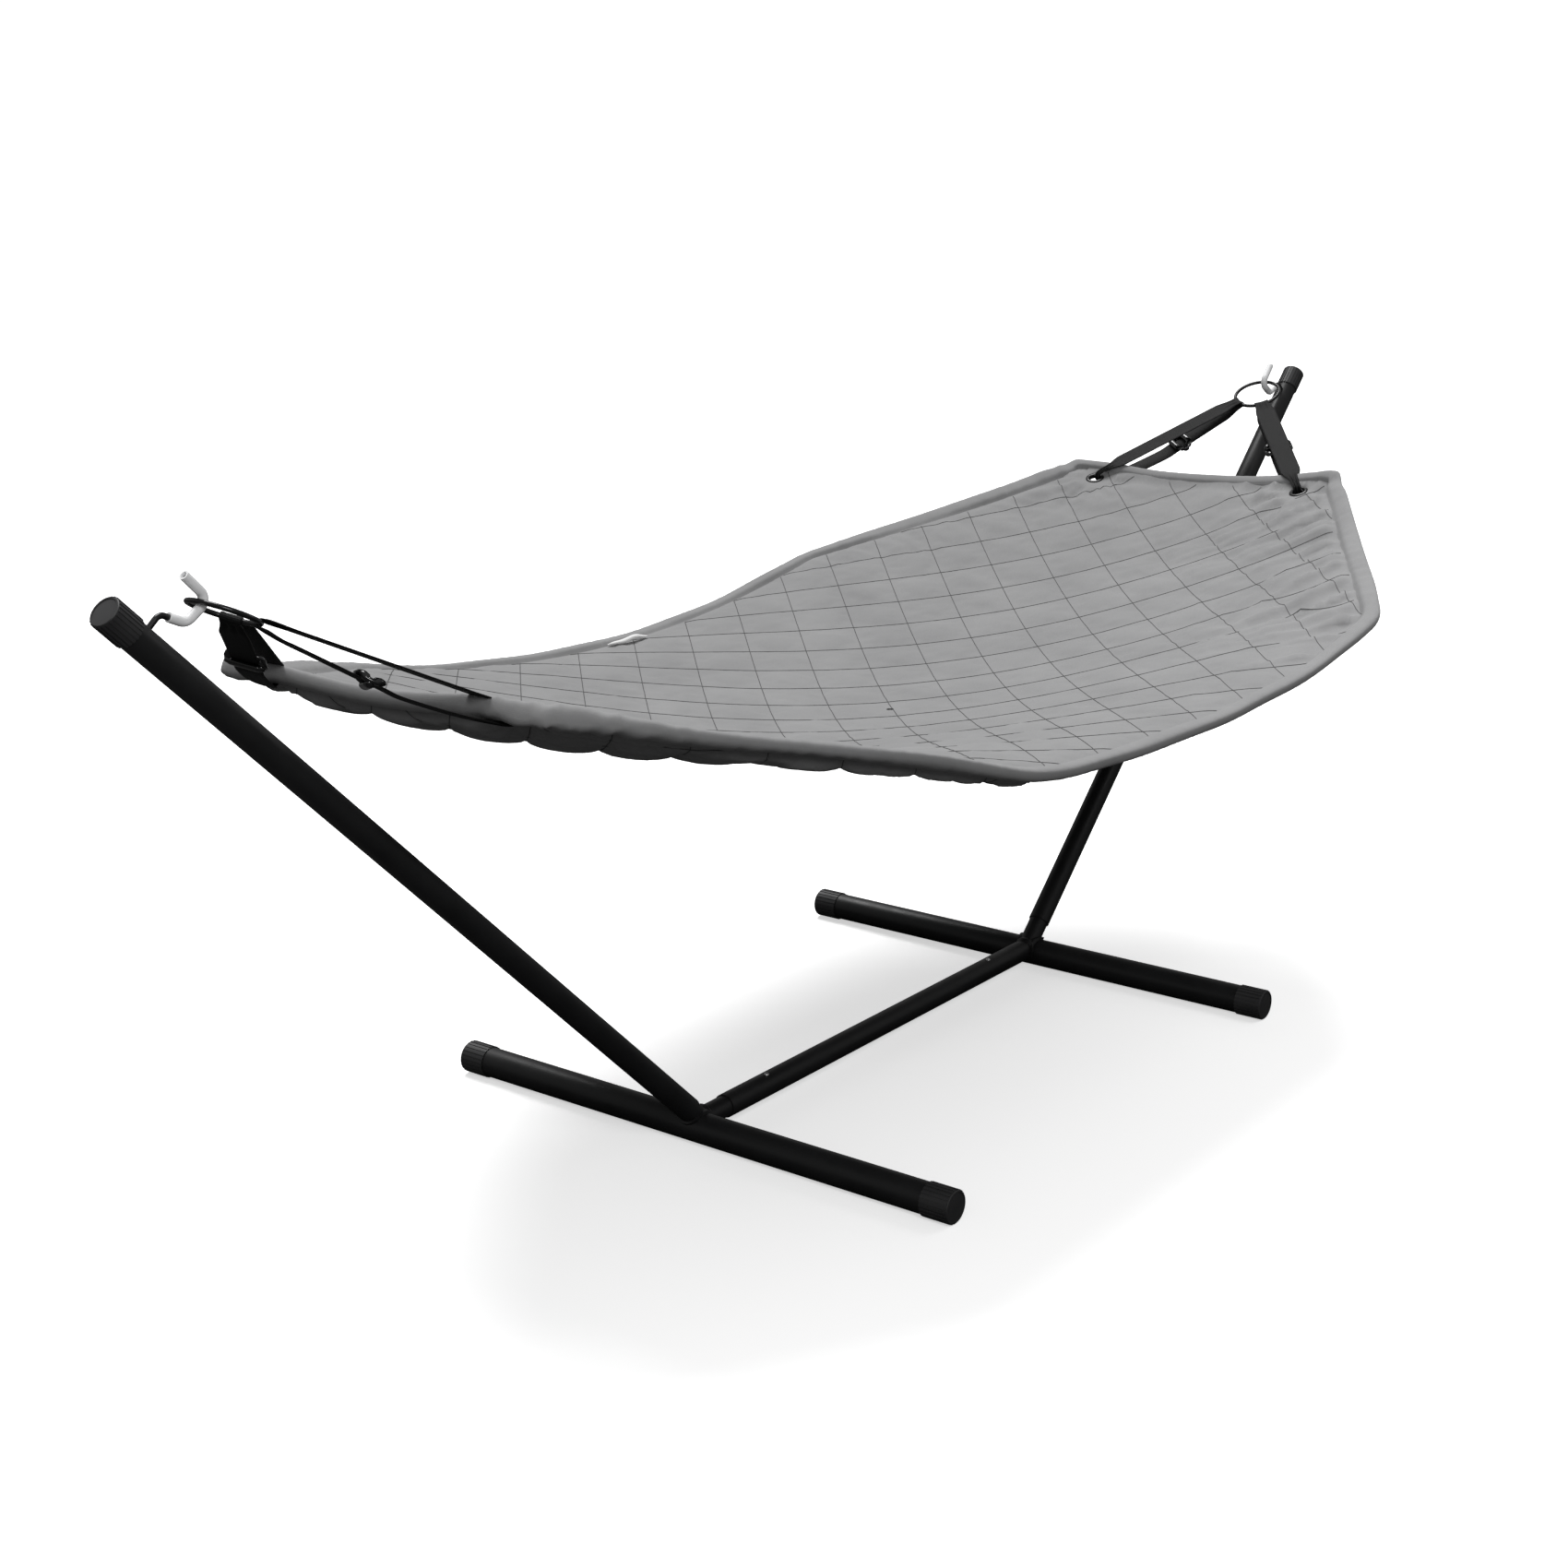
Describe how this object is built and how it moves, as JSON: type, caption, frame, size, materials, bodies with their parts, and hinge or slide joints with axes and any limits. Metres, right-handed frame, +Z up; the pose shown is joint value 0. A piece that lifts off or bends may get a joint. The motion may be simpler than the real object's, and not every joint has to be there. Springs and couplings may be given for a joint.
{
  "type": "hammock on stand",
  "caption": "Free-standing garden hammock: a quilted, eight-sided padded hammock on webbing straps, rings and hooks between the leaning posts of a take-apart tubular steel stand.",
  "frame": {"origin": "on the floor, under the middle of the stand", "axes": "+X along the stand towards its right end, +Z up, -Y is the front"},
  "size_m": [3.1564, 1.26, 1.0761],
  "materials": {
    "black_powder_coat": "satin powder coat",
    "black_plastic": "moulded, fine matte grain",
    "black_rod": "satin black",
    "white_sleeve": "milky translucent vinyl tube",
    "zinc_button": "bright zinc plate",
    "spring_steel": "oiled spring steel",
    "black_ring": "semi-gloss black",
    "black_webbing": "woven polypropylene webbing",
    "black_buckle": "gloss black",
    "black_eyelet": "semi-gloss black",
    "grey_cover": "plain woven polyester",
    "white_wadding": "polyester fibre wadding",
    "label_tape": "blank woven tape"
  },
  "bodies": {
    "stand": {"foot_tube_left": "black_powder_coat", "base_stub_left": "black_powder_coat", "post_stub_left": "black_powder_coat", "weld_left": "black_powder_coat", "post_left": "black_powder_coat", "hook_left": "black_rod", "hook_sleeve_left": "white_sleeve", "post_cap_left": "black_plastic", "button_spring_left": "spring_steel", "foot_cap_left_front": "black_plastic", "foot_cap_left_back": "black_plastic", "foot_tube_right": "black_powder_coat", "base_stub_right": "black_powder_coat", "post_stub_right": "black_powder_coat", "weld_right": "black_powder_coat", "post_right": "black_powder_coat", "hook_right": "black_rod", "hook_sleeve_right": "white_sleeve", "post_cap_right": "black_plastic", "button_spring_right": "spring_steel", "foot_cap_right_front": "black_plastic", "foot_cap_right_back": "black_plastic", "base_tube": "black_powder_coat"},
    "sling": {"ring_left": "black_ring", "strap_left_front": "black_webbing", "grommet_left_front": "black_eyelet", "strap_left_back": "black_webbing", "grommet_left_back": "black_eyelet", "ring_right": "black_ring", "strap_right_front": "black_webbing", "grommet_right_front": "black_eyelet", "strap_right_back": "black_webbing", "grommet_right_back": "black_eyelet", "hammock_top_cover": "grey_cover", "hammock_under_cover": "grey_cover", "hammock_wadding": "white_wadding", "drain_eyelet": "black_eyelet", "side_label": "label_tape"},
    "button_left": {"button_left": "zinc_button"},
    "button_right": {"button_right": "zinc_button"},
    "buckle_left_front": {"buckle_left_front": "black_buckle"},
    "buckle_left_back": {"buckle_left_back": "black_buckle"},
    "buckle_right_front": {"buckle_right_front": "black_buckle"},
    "buckle_right_back": {"buckle_right_back": "black_buckle"}
  },
  "joints": [
    {"name": "hammock_swing", "type": "hinge", "parent": "stand", "child": "sling", "pos_m": [0, 0, 1.0376], "axis": [1, 0, 0], "range_deg": [-25, 25]},
    {"name": "button_left_press", "type": "slide", "parent": "stand", "child": "button_left", "axis": [0, 0.225, -0.9744], "range_m": [0, 0.0052], "stiffness_N_per_m": 1500, "springref_m": -0.003},
    {"name": "button_right_press", "type": "slide", "parent": "stand", "child": "button_right", "axis": [0, 0.225, -0.9744], "range_m": [0, 0.0052], "stiffness_N_per_m": 1500, "springref_m": -0.003},
    {"name": "buckle_left_front_slide", "type": "slide", "parent": "sling", "child": "buckle_left_front", "axis": [0.6406, -0.5892, -0.4924], "range_m": [-0.07, 0.02]},
    {"name": "buckle_left_back_slide", "type": "slide", "parent": "sling", "child": "buckle_left_back", "axis": [0.6276, 0.5804, -0.5189], "range_m": [-0.07, 0.02]},
    {"name": "buckle_right_front_slide", "type": "slide", "parent": "sling", "child": "buckle_right_front", "axis": [-0.6406, -0.5892, -0.4924], "range_m": [-0.07, 0.02]},
    {"name": "buckle_right_back_slide", "type": "slide", "parent": "sling", "child": "buckle_right_back", "axis": [-0.6276, 0.5804, -0.5189], "range_m": [-0.07, 0.02]}
  ]
}
